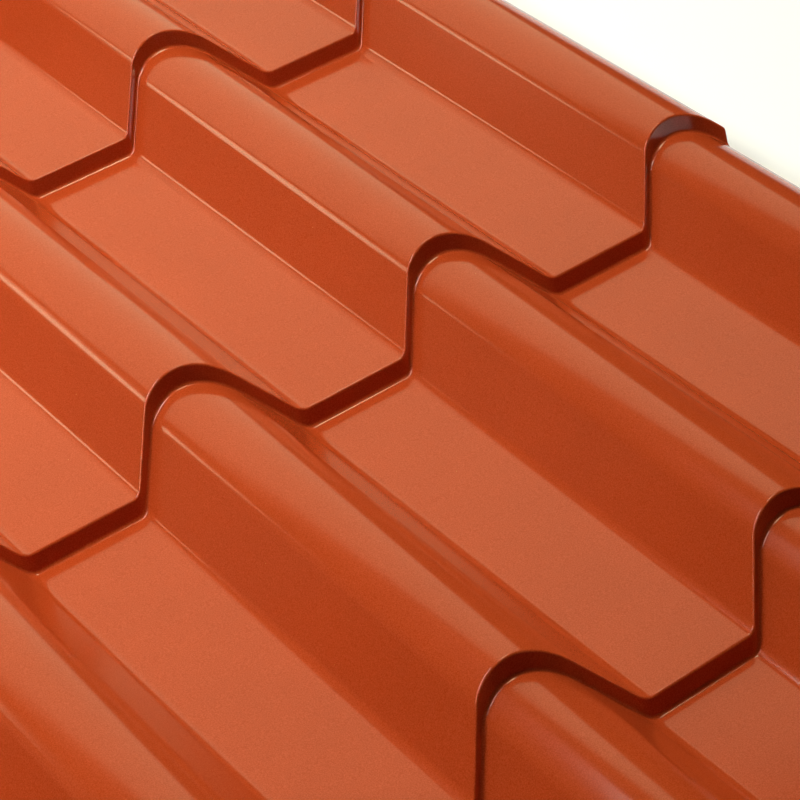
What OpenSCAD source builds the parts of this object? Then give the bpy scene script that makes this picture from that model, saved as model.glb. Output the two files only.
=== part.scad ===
// Tile-form metal roofing sheet: waves run up the slope, and steps across them make the courses.
// X runs across the waves, +Y up the slope, +Z out of the roof. The sheet lies on Z = 0.

/* [Sheet] */
// Distance from one wave to the next
wave_pitch = 220; // [190:1:270]
// Pitches that the sheet covers, one less than its crests
wave_count = 5; // [2:1:6]
// Distance from one step to the next
course_length = 350; // [250:5:450]
// Full courses between the first step and the last
course_count = 6; // [1:1:8]
// Length of sheet above the last step, which the next sheet covers
top_lap = 130; // [90:1:200]
// Length of sheet below the first step, at the eave
eave_toe = 30; // [10:1:60]
// Thickness of the coated steel
sheet_t = 0.5; // [0.4:0.05:0.8]

/* [Wave] */
// Width of a pan between the lines where its slopes would meet it
pan_width = 88; // [60:1:110]
// Angle of the flank, the shouldered side of a wave
flank_angle = 45; // [35:0.5:60]
// Angle of the slope, the rounded side of a wave
slope_angle = 44.5; // [35:0.5:55]
// Outside radius of the crest
crest_radius = 54; // [30:1:60]
// Outside radius of the tighter shoulder between the flank and the crest
shoulder_radius = 25; // [10:1:30]
// Angle of the crest where the shoulder ends
shoulder_angle = 29; // [10:1:32]
// Bend radius between a pan and the flank
flank_bend_radius = 12; // [3:1:20]
// Bend radius between the slope and the next pan
slope_bend_radius = 14; // [3:1:24]

/* [Step] */
// Height of a step, square to its course
step_height = 14; // [8:0.5:24]
// How far the lip on a crest lies behind the lip in a pan
crest_setback = 48; // [20:1:60]
// Lean of a step's face, so that its foot stands out in front of its lip
step_draft = 15; // [0:0.5:25]

/* [Side edges] */
// From the last crest's top to the edge that laps over the next sheet
over_lap = 40; // [15:1:55]
// Width of the water channel beside the first crest
channel_width = 18; // [12:1:30]
// Height of the channel's turned-up edge
rim_height = 9; // [5:0.5:15]
// Angle of the turned-up edge
rim_angle = 60; // [45:1:75]
// Bend radius at the foot of the turned-up edge
rim_bend_radius = 3; // [1:0.5:5]

/* [Facets] */
// Flat strips in each crest
crest_strips = 8; // [5:1:14]
// Flat strips in each shoulder and bend
bend_strips = 3; // [2:1:5]

/* [Hidden] */
coating = "#c9603a";

// Wave, measured from the foot of its flank: the shoulder touches the flank and the crest
wave_base = wave_pitch - pan_width;
radius_change = crest_radius - shoulder_radius;
flank_reach = shoulder_radius + radius_change * cos(flank_angle - shoulder_angle);
crest_x = (flank_reach * cos(slope_angle) - crest_radius * cos(flank_angle)
    + wave_base * sin(slope_angle) * cos(flank_angle)) / sin(flank_angle + slope_angle);
crest_z = (crest_x * sin(flank_angle) - flank_reach) / cos(flank_angle);
shoulder_x = crest_x - radius_change * sin(shoulder_angle);
shoulder_z = crest_z + radius_change * cos(shoulder_angle);
wave_height = crest_z + crest_radius;

// Edges of the sheet, measured from the foot of the first flank
left_x = -channel_width - rim_height / tan(rim_angle);
right_x = wave_count * wave_pitch + crest_x + over_lap;

// Each course falls from its lip to the foot of the next step, so that all the lips are level
fall = asin(step_height / course_length);
course_run = course_length * cos(fall);
foot_reach = step_height * tan(step_draft);
rest_height = (step_height + sheet_t) * cos(fall) - (foot_reach - sheet_t) * sin(fall);

// Ends of the sheet, measured from the first lip
eave_y = -(foot_reach + eave_toe) * cos(fall) - step_height * sin(fall);
top_y = course_count * course_length + top_lap * cos(fall) + wave_height * sin(fall);

// Hidden lengths that carry one solid cleanly past another
overrun = 5;
fill_depth = 20;
course_overlap = crest_setback + 20;
trim_height = 3 * fill_depth + 2 * wave_height + (course_run + 2 * course_overlap) * tan(step_draft);

// Points of an arc whose angles are measured clockwise from straight up
function arc(x, z, r, from, to, strips) =
    [for (i = [0:strips]) let (a = from + (to - from) * i / strips) [x + r * sin(a), z + r * cos(a)]];

// One wave, in four arcs
function flank_bend(x) = arc(x - flank_bend_radius * tan(flank_angle / 2), flank_bend_radius,
    flank_bend_radius, 180, 180 - flank_angle, bend_strips);
function shoulder(x) = arc(x + shoulder_x, shoulder_z, shoulder_radius, -flank_angle,
    -shoulder_angle, bend_strips);
function crest(x) = [for (i = [1:crest_strips]) arc(x + crest_x, crest_z, crest_radius,
    -shoulder_angle, slope_angle, crest_strips)[i]];
function slope_bend(x) = arc(x + wave_base + slope_bend_radius * tan(slope_angle / 2),
    slope_bend_radius, slope_bend_radius, 180 + slope_angle, 180, bend_strips);

// Height of a wave some way past the top of its crest
function height_past_crest(reach) = reach < crest_radius * sin(slope_angle)
    ? crest_z + sqrt(pow(crest_radius, 2) - pow(reach, 2))
    : (wave_base - crest_x - reach) * tan(slope_angle);

// Upper face across the whole sheet, as [x, z]
last_wave_x = wave_count * wave_pitch;
section = concat(
    [[left_x, rim_height]],
    arc(-channel_width + rim_bend_radius * tan(rim_angle / 2), rim_bend_radius,
        rim_bend_radius, 180 + rim_angle, 180, bend_strips),
    [for (i = [0:wave_count - 1]) let (x = i * wave_pitch)
        each concat(flank_bend(x), shoulder(x), crest(x), slope_bend(x))],
    flank_bend(last_wave_x),
    shoulder(last_wave_x),
    [for (p = crest(last_wave_x)) if (p[0] < right_x - 1) p],
    [[right_x, height_past_crest(over_lap)]]
);

// A line of points carried on past both of its ends
function unit(v) = v / norm(v);
function prolong(line, reach) = let (last = len(line) - 1) [for (i = [0:last])
    i == 0 ? line[0] + reach * unit(line[0] - line[1])
    : i == last ? line[last] + reach * unit(line[last] - line[last - 1])
    : line[i]];

// A line with its corners cut off halfway along each of its straights
function halfway(line) = let (last = len(line) - 1)
    [line[0], each [for (i = [1:last]) (line[i - 1] + line[i]) / 2], line[last]];

// A line moved sideways, to the right of its own direction, with mitred corners
function right_of(v) = [v[1], -v[0]];
function parallel(line, gap) = let (last = len(line) - 1) [for (i = [0:last])
    let (
        before = unit(line[max(i, 1)] - line[max(i, 1) - 1]),
        after = unit(line[min(i, last - 1) + 1] - line[min(i, last - 1)]),
        side = right_of(before) + right_of(after)
    )
    line[i] + 2 * gap * side / (side * side)];

// Lip of a step seen along its leaning face, as [x, y]: it falls back towards the crests.
// Its corners come halfway between the section's, so that none of them meet.
setback_per_height = (crest_setback / wave_height - tan(step_draft)) * cos(step_draft);
lip = [for (p = halfway(prolong(section, 2 * overrun))) [p[0], p[1] * setback_per_height]];

// Lower face and the back of the step
under_face = parallel(prolong(section, overrun), sheet_t);
under_lip = parallel(lip, -sheet_t);

// A line of points closed into an area by a straight side at the given level
function closed_at(line, level) = concat(line, [[line[len(line) - 1][0], level], [line[0][0], level]]);

// Everything under a section, from one place along the course to another
module under_section(line, depth, from, to) {
    translate([0, to, 0])
        rotate([90, 0, 0])
            linear_extrude(height = to - from)
                polygon(closed_at(line, -depth));
}

// Everything behind the face of a step
module behind_step(line, back) {
    rotate([-step_draft, 0, 0])
        translate([0, 0, -3 * fill_depth])
            linear_extrude(height = trim_height)
                polygon(closed_at(line, back));
}

// The courses as one solid block, each one level and a step above the last.
// The ends of the block are moved out by extra, and its bottom down.
module courses(line, step_line, extra) {
    back = course_run + course_overlap;
    translate([0, 0, -step_height])
        under_section(line, fill_depth + extra, -foot_reach - eave_toe - extra, course_overlap);
    for (i = [0:course_count])
        translate([0, i * course_run, i * step_height])
            intersection() {
                under_section(line, fill_depth + extra, -course_overlap,
                    i == course_count ? top_lap + extra : back + extra);
                behind_step(step_line, back + 2 * overrun);
            }
}

// The sheet is what lies between the block under its upper face and the one under its lower face
module roofing_sheet() {
    color(coating)
        translate([-(left_x + right_x) / 2, -(eave_y + top_y) / 2, rest_height])
            rotate([-fall, 0, 0])
                difference() {
                    courses(section, lip, 0);
                    courses(under_face, under_lip, overrun);
                }
}

roofing_sheet();
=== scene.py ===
# One sheet of tile-form metal roofing, lying flat on a pale studio floor.
import math
import bmesh
import bpy
from mathutils import Matrix, Vector


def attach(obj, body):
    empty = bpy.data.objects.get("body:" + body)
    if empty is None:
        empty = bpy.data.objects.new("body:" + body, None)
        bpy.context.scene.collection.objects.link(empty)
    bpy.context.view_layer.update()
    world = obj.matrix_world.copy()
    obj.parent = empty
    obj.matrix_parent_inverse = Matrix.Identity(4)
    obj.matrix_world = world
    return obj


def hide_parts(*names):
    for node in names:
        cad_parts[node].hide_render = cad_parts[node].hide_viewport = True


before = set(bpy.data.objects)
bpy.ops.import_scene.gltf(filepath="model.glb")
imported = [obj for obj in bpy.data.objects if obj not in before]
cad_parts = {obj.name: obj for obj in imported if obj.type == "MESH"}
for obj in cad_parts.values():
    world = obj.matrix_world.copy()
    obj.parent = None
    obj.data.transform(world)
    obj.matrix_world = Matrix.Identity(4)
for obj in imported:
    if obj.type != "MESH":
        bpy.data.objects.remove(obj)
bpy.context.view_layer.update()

# ---------------------------------------------------------------------------
# Roofing sheet.
# One piece of hot-dip galvanised steel, half a millimetre thick, roll-formed into
# waves and then pressed across the waves, where each press mark makes a course.
# ---------------------------------------------------------------------------

mm = 0.001

wave_pitch = 220 * mm
wave_count = 5
course_length = 350 * mm
course_count = 6
top_lap = 130 * mm
eave_toe = 30 * mm
sheet_t = 0.5 * mm

pan_width = 88 * mm
flank_angle = math.radians(45)
slope_angle = math.radians(44.5)
crest_radius = 54 * mm
shoulder_radius = 25 * mm
shoulder_angle = math.radians(29)
flank_bend_radius = 12 * mm
slope_bend_radius = 14 * mm

step_height = 14 * mm
crest_setback = 48 * mm
step_draft = math.radians(15)
lip_bend = 1.4 * mm
foot_bend = 2.4 * mm

over_lap = 40 * mm
channel_width = 18 * mm
rim_height = 9 * mm
rim_angle = math.radians(60)
rim_bend_radius = 3 * mm

# The wave, measured from the foot of its flank; its shoulder touches the flank and the crest
wave_base = wave_pitch - pan_width
radius_change = crest_radius - shoulder_radius
flank_reach = shoulder_radius + radius_change * math.cos(flank_angle - shoulder_angle)
crest_x = (flank_reach * math.cos(slope_angle) - crest_radius * math.cos(flank_angle)
           + wave_base * math.sin(slope_angle) * math.cos(flank_angle))
crest_x /= math.sin(flank_angle + slope_angle)
crest_z = (crest_x * math.sin(flank_angle) - flank_reach) / math.cos(flank_angle)
shoulder_x = crest_x - radius_change * math.sin(shoulder_angle)
shoulder_z = crest_z + radius_change * math.cos(shoulder_angle)
wave_height = crest_z + crest_radius
left_x = -channel_width - rim_height / math.tan(rim_angle)
right_x = wave_count * wave_pitch + crest_x + over_lap

# Each course falls a little from its lip, so that all the lips are level
fall = math.asin(step_height / course_length)
course_run = course_length * math.cos(fall)
foot_reach = step_height * math.tan(step_draft)
rest_height = (step_height + sheet_t) * math.cos(fall) - (foot_reach - sheet_t) * math.sin(fall)
eave_y = -(foot_reach + eave_toe) * math.cos(fall) - step_height * math.sin(fall)
top_y = course_count * course_length + top_lap * math.cos(fall) + wave_height * math.sin(fall)

sheet_mesh = bmesh.new()
chain_end = bmesh.ops.create_vert(sheet_mesh, co=(left_x, 0, rim_height))["vert"][0]


def straight_to(end, x, z):
    """Carry the section on from its last point along a flat, and return the new last point."""
    grown = bmesh.ops.extrude_vert_indiv(sheet_mesh, verts=[end])["verts"][0]
    bmesh.ops.translate(sheet_mesh, verts=[grown], vec=Vector((x, 0, z)) - grown.co)
    return grown


def bend_on(end, x, z, angle, strips):
    """Carry the section on round a bend about (x, z); a positive angle turns over a crest."""
    swept = bmesh.ops.spin(sheet_mesh, geom=[end], cent=(x, 0, z), axis=(0, 1, 0),
                           angle=angle, steps=strips, use_merge=False, use_duplicate=False)
    return [part for part in swept["geom_last"] if isinstance(part, bmesh.types.BMVert)][0]


def on_arc(x, z, radius, angle):
    """A point of a bend, whose angle is measured clockwise from straight up."""
    return x + radius * math.sin(angle), z + radius * math.cos(angle)


# Turned-up edge and water channel
bend_strips = 8
shoulder_strips = 8
crest_strips = 26
rim_centre = -channel_width + rim_bend_radius * math.tan(rim_angle / 2)
chain_end = straight_to(chain_end, *on_arc(rim_centre, rim_bend_radius, rim_bend_radius,
                                           math.pi + rim_angle))
chain_end = bend_on(chain_end, rim_centre, rim_bend_radius, -rim_angle, bend_strips)

# Each wave is a flank, a tight shoulder, a round crest and a slope; the last stops past its crest
for wave in range(wave_count + 1):
    foot = wave * wave_pitch
    flank_centre = foot - flank_bend_radius * math.tan(flank_angle / 2)
    chain_end = straight_to(chain_end, flank_centre, 0)
    chain_end = bend_on(chain_end, flank_centre, flank_bend_radius, -flank_angle, bend_strips)
    shoulder = (foot + shoulder_x, shoulder_z)
    chain_end = straight_to(chain_end, *on_arc(*shoulder, shoulder_radius, -flank_angle))
    chain_end = bend_on(chain_end, *shoulder, flank_angle - shoulder_angle, shoulder_strips)
    crest = (foot + crest_x, crest_z)
    if wave < wave_count:
        chain_end = bend_on(chain_end, *crest, shoulder_angle + slope_angle, crest_strips)
        slope_bend = (foot + wave_base + slope_bend_radius * math.tan(slope_angle / 2),
                      slope_bend_radius)
        chain_end = straight_to(chain_end, *on_arc(*slope_bend, slope_bend_radius,
                                                   math.pi + slope_angle))
        chain_end = bend_on(chain_end, *slope_bend, -slope_angle, bend_strips)
edge_reach = math.asin(min(1.0, over_lap / crest_radius))
last_bend = min(edge_reach, slope_angle)
chain_end = bend_on(chain_end, *crest, shoulder_angle + last_bend, crest_strips)
if edge_reach > slope_angle:
    chain_end = straight_to(chain_end, right_x,
                            (wave_base - crest_x - over_lap) * math.tan(slope_angle))

# Draw the section up the slope row by row. From the first step on, every row follows the
# lip's line, which falls back towards the crests; the eave and the top are cut square.
row = list(sheet_mesh.edges)
bmesh.ops.translate(sheet_mesh, verts=sheet_mesh.verts,
                    vec=(0, -foot_reach - eave_toe, -step_height))


def next_row(edges, move):
    """Draw the sheet on by one row and return the new row's edges."""
    drawn = bmesh.ops.extrude_edge_only(sheet_mesh, edges=edges)["geom"]
    points = {part for part in drawn if isinstance(part, bmesh.types.BMVert)}
    bmesh.ops.translate(sheet_mesh, verts=list(points), vec=move)
    return [part for part in drawn
            if isinstance(part, bmesh.types.BMEdge) and points.issuperset(part.verts)]


row = next_row(row, (0, eave_toe, 0))
for point in {end for edge in row for end in edge.verts}:
    point.co.y += (point.co.z + step_height) * crest_setback / wave_height
feet, lips = list(row), []
for course in range(course_count + 1):
    row = next_row(row, (0, foot_reach, step_height))
    lips += row
    if course < course_count:
        row = next_row(row, (0, course_run - foot_reach, 0))
        feet += row
row = next_row(row, (0, top_lap, 0))
for point in {end for edge in row for end in edge.verts}:
    point.co.y = course_count * course_run + top_lap
step_bend_strips = 4
for edges, radius in ((lips, lip_bend), (feet, foot_bend)):
    bmesh.ops.bevel(sheet_mesh, geom=edges, offset=radius, offset_type="OFFSET", affect="EDGES",
                    segments=step_bend_strips, profile=0.5, material=-1, clamp_overlap=True)

# Lay the sheet on its feet, centred on the floor
lay = (Matrix.Translation((-(left_x + right_x) / 2, -(eave_y + top_y) / 2, rest_height))
       @ Matrix.Rotation(-fall, 4, "X"))
bmesh.ops.transform(sheet_mesh, matrix=lay, verts=sheet_mesh.verts)
bmesh.ops.recalc_face_normals(sheet_mesh, faces=sheet_mesh.faces)
if sum(face.normal.z * face.calc_area() for face in sheet_mesh.faces) < 0:
    bmesh.ops.reverse_faces(sheet_mesh, faces=sheet_mesh.faces)
for face in sheet_mesh.faces:
    face.smooth = True

sheet_data = bpy.data.meshes.new("roofing_sheet_visual")
sheet_mesh.to_mesh(sheet_data)
sheet_mesh.free()
sheet = bpy.data.objects.new("formed_sheet", sheet_data)
bpy.context.scene.collection.objects.link(sheet)

wall = sheet.modifiers.new("steel thickness", "SOLIDIFY")
wall.thickness = sheet_t
wall.offset = -1
wall.use_even_offset = True
wall.use_quality_normals = True
wall.material_offset = 1
wall.material_offset_rim = 2
shading = sheet.modifiers.new("flat faces stay flat", "WEIGHTED_NORMAL")
shading.mode = "FACE_AREA"
shading.weight = 100


def linear(hex_colour):
    """An sRGB hex colour as linear RGBA."""
    channels = [int(hex_colour[i:i + 2], 16) / 255 for i in (1, 3, 5)]
    return [c / 12.92 if c <= 0.04045 else ((c + 0.055) / 1.055) ** 2.4 for c in channels] + [1.0]


def add_node(material, kind, settings=None, **inputs):
    """Add a node; settings are its own properties, inputs are values or sockets to link.
    An input is called by its name, or by its number after an underscore."""
    node = material.node_tree.nodes.new(kind)
    for name, value in (settings or {}).items():
        setattr(node, name, value)
    for name, value in inputs.items():
        socket = node.inputs[int(name[1:]) if name[1:].isdigit() else name.replace("_", " ")]
        if isinstance(value, bpy.types.NodeSocket):
            material.node_tree.links.new(value, socket)
        else:
            socket.default_value = value
    return node


def new_material(name):
    """A material with an empty node tree."""
    material = bpy.data.materials.new(name)
    material.use_nodes = True
    material.node_tree.nodes.clear()
    return material


# Semi-gloss polyester coil coating, terracotta, 25 micrometres over primer, rolled on and
# baked before the steel is formed. The eye sees an even orange red that mirrors bright
# things softly, through a fine, shallow orange peel. The grain of its pigment is finer in
# the real coating, and is drawn as coarse as it needs to show.
coating = new_material("terracotta polyester coil coating")
place = add_node(coating, "ShaderNodeTexCoord")
peel_width = 1.2 * mm
peel = add_node(coating, "ShaderNodeTexNoise", Vector=place.outputs["Object"],
                Scale=1 / peel_width, Detail=2.0, Roughness=0.5)
peel_depth = 0.05 * mm
peel_bump = add_node(coating, "ShaderNodeBump", Height=peel.outputs["Fac"], Strength=0.06,
                     Distance=peel_depth)
noise_low, noise_high = 0.3, 0.7  # nearly all of a noise's values lie between these
grain_width = 0.8 * mm
grain = add_node(coating, "ShaderNodeTexNoise", Vector=place.outputs["Object"],
                 Scale=1 / grain_width, Detail=1.0, Roughness=0.6)
grain_mix = add_node(coating, "ShaderNodeMapRange", _0=grain.outputs["Fac"],
                     _1=noise_low, _2=noise_high)
pigment = add_node(coating, "ShaderNodeMix", {"data_type": "RGBA"}, _0=grain_mix.outputs[0],
                   _6=linear("#ba4213"), _7=linear("#ce572f"))

# The tone of the coat drifts very slightly over a hand's width
cloud_width, cloud_depth = 90 * mm, 0.03
cloud = add_node(coating, "ShaderNodeTexNoise", Vector=place.outputs["Object"],
                 Scale=1 / cloud_width, Detail=3.0, Roughness=0.55)
cloud_tone = add_node(coating, "ShaderNodeMapRange", _0=cloud.outputs["Fac"],
                      _1=noise_low, _2=noise_high, _3=1 - cloud_depth, _4=1 + cloud_depth)
tone = add_node(coating, "ShaderNodeMix", {"data_type": "RGBA", "blend_type": "MULTIPLY"}, _0=1.0,
                _6=pigment.outputs[2], _7=cloud_tone.outputs[0])

# A few specks of pale dust, under a millimetre across and some 25 mm apart
dust_gap, dust_radius = 25 * mm, 0.45 * mm
dust = add_node(coating, "ShaderNodeTexVoronoi", Vector=place.outputs["Object"],
                Scale=1 / dust_gap)
dust_mask = add_node(coating, "ShaderNodeMapRange", _0=dust.outputs["Distance"],
                     _1=dust_radius / dust_gap, _2=0.5 * dust_radius / dust_gap)
dusted = add_node(coating, "ShaderNodeMix", {"data_type": "RGBA"}, _0=dust_mask.outputs[0],
                  _6=tone.outputs[2], _7=linear("#d98a4a"))
paint = add_node(coating, "ShaderNodeBsdfPrincipled", Base_Color=dusted.outputs[2], Metallic=0.0,
                 Roughness=0.13, IOR=1.5, Normal=peel_bump.outputs["Normal"])
add_node(coating, "ShaderNodeOutputMaterial", Surface=paint.outputs["BSDF"])

# Thin epoxy backing coat, rolled on under the sheet. The eye sees a light grey, duller than
# the face and faintly flecked. The flecks are finer in the real coat, and are drawn as
# coarse as they need to show.
backing = new_material("grey epoxy backing coat")
place = add_node(backing, "ShaderNodeTexCoord")
fleck_width = 2.5 * mm
flecks = add_node(backing, "ShaderNodeTexNoise", Vector=place.outputs["Object"],
                  Scale=1 / fleck_width, Detail=3.0)
backing_tone = add_node(backing, "ShaderNodeMix", {"data_type": "RGBA"},
                        Factor=flecks.outputs["Fac"],
                        _6=linear("#9a9c98"), _7=linear("#a8aaa5"))
dull = add_node(backing, "ShaderNodeBsdfPrincipled", Base_Color=backing_tone.outputs[2],
                Roughness=0.55, IOR=1.5)
add_node(backing, "ShaderNodeOutputMaterial", Surface=dull.outputs["BSDF"])

# Bare zinc-coated steel where the shear cut the sheet. The eye sees a thin, dull metal line
# round the edges. The shear's marks are finer in the real edge, and are drawn as coarse as
# they need to show.
raw_edge = new_material("sheared galvanised steel edge")
place = add_node(raw_edge, "ShaderNodeTexCoord")
mark_width = 1.5 * mm
shear_marks = add_node(raw_edge, "ShaderNodeTexNoise", Vector=place.outputs["Object"],
                       Scale=1 / mark_width)
edge_tone = add_node(raw_edge, "ShaderNodeMix", {"data_type": "RGBA"},
                     Factor=shear_marks.outputs["Fac"],
                     _6=linear("#8d8a80"), _7=linear("#b3afa2"))
steel = add_node(raw_edge, "ShaderNodeBsdfPrincipled", Base_Color=edge_tone.outputs[2],
                 Metallic=1.0, Roughness=0.45)
add_node(raw_edge, "ShaderNodeOutputMaterial", Surface=steel.outputs["BSDF"])

for material in (coating, backing, raw_edge):
    sheet.data.materials.append(material)

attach(sheet, "root")
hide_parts("roofing_sheet")

# ---------------------------------------------------------------------------
# Studio.
# A pale table lit from within, and warm lamps: a large backdrop panel behind the right
# of the sheet, a lamp and a dim scrim behind its left, a rim box high on each side and a
# gridded soft box overhead. Nothing on the camera's side is bright.
# ---------------------------------------------------------------------------

table_reach = 30.0
floor_mesh = bmesh.new()
bmesh.ops.create_grid(floor_mesh, x_segments=1, y_segments=1, size=table_reach)
floor_data = bpy.data.meshes.new("studio_floor")
floor_mesh.to_mesh(floor_data)
floor_mesh.free()
floor = bpy.data.objects.new("studio_floor", floor_data)
bpy.context.scene.collection.objects.link(floor)

# Opal acrylic with a matt face, so that the eye sees a plain white ground with no shine. It
# glows round the sheet. Its glow is cut off under the sheet and fades back in over 50 mm past the
# sheet's edges, a painted shadow of the sheet on the floor.
floor_paint = new_material("matt white studio floor")
place = add_node(floor_paint, "ShaderNodeTexCoord")
across = add_node(floor_paint, "ShaderNodeSeparateXYZ", Vector=place.outputs["Object"])
glow, painted_shadow_fade = 0.45, 50 * mm
painted_shadow_ramps = []
for axis, extent in enumerate((right_x - left_x, top_y - eave_y)):
    distance = add_node(floor_paint, "ShaderNodeMath", {"operation": "ABSOLUTE"},
                        _0=across.outputs[axis])
    painted_shadow_ramps.append(add_node(floor_paint, "ShaderNodeMapRange", _0=distance.outputs[0],
                           _1=extent / 2, _2=extent / 2 + painted_shadow_fade, _3=0.0, _4=glow))
# Painted shadow: the floor's glow is zero under the sheet and full 50 mm past its edges
glow_outside_painted_shadow = add_node(floor_paint, "ShaderNodeMath", {"operation": "MAXIMUM"},
               _0=painted_shadow_ramps[0].outputs[0], _1=painted_shadow_ramps[1].outputs[0])
floor_shader = add_node(floor_paint, "ShaderNodeBsdfPrincipled", Base_Color=linear("#f8f8f6"),
                        Roughness=0.9, Emission_Color=linear("#e4eeff"),
                        Emission_Strength=glow_outside_painted_shadow.outputs[0])
add_node(floor_paint, "ShaderNodeOutputMaterial", Surface=floor_shader.outputs["BSDF"])
floor.data.materials.append(floor_paint)

# A trace of light from all round
world = bpy.data.worlds.new("dim studio")
world.use_nodes = True
sky = world.node_tree.nodes["Background"]
sky.inputs["Color"].default_value = (1.0, 1.0, 1.0, 1.0)
sky.inputs["Strength"].default_value = 0.01
bpy.context.scene.world = world
bpy.context.scene.view_settings.view_transform = "Standard"


def soft_light(name, location, aim, size, radiance, tint, spread=180):
    """A soft box at one point, aimed at another. Its size doesn't change how bright it looks,
    and spread is the angle of its grid."""
    lamp = bpy.data.lights.new(name, "AREA")
    lamp.shape = "RECTANGLE"
    lamp.size, lamp.size_y = size
    lamp.energy = radiance * math.pi * size[0] * size[1]
    lamp.color = tint
    lamp.spread = math.radians(spread)
    stand = bpy.data.objects.new(name, lamp)
    stand.location = location
    stand.rotation_euler = (Vector(location) - Vector(aim)).to_track_quat("Z", "Y").to_euler()
    bpy.context.scene.collection.objects.link(stand)


# Each light's place and aim in metres, its width and height, its brightness and its tint
warm = (1.0, 0.92, 0.56)
neutral = (1.0, 0.95, 0.86)
middle = (0.0, 0.0, 0.0)
soft_light("backdrop panel", (2.73, 7.49, 3.72), middle, (9.2, 8.0), 1.1, warm)
soft_light("left lamp", (-2.82, 6.05, 4.42), middle, (1.6, 0.85), 6.0, warm)
soft_light("left scrim", (-4.63, 5.92, 2.74), middle, (2.3, 3.6), 0.17, warm)
soft_light("left rim box", (-2.1, 1.0, 3.25), middle, (0.6, 0.6), 24.0, warm)
soft_light("right rim box", (1.77, 0.79, 3.5), middle, (0.65, 0.65), 21.0, warm)
soft_light("overhead soft box", (-0.4, 0.85, 2.68), (-0.35, 0.35, 0.0), (1.8, 0.5), 3.35,
           neutral, 60)

# Camera: a long lens looking down across the courses from the sheet's lower left
camera_data = bpy.data.cameras.new("camera")
camera_data.lens = 124.14
camera_data.sensor_width = 36
camera_data.clip_end = 60
camera = bpy.data.objects.new("camera", camera_data)
azimuth, elevation, roll = math.radians(-35.24), math.radians(40.40), math.radians(-3.64)
back = Vector((math.sin(azimuth) * math.cos(elevation), -math.cos(azimuth) * math.cos(elevation),
               math.sin(elevation)))
right = Vector((0, 0, 1)).cross(back).normalized()
up = back.cross(right)
turned_right = right * math.cos(roll) + up * math.sin(roll)
turned_up = up * math.cos(roll) - right * math.sin(roll)
camera_aim, camera_distance = Vector((0.267653, -0.069493, 0.000318)), 1.8909
camera.matrix_world = (Matrix.Translation(camera_aim + back * camera_distance)
                       @ Matrix((turned_right, turned_up, back)).transposed().to_4x4())
bpy.context.scene.collection.objects.link(camera)
bpy.context.scene.camera = camera
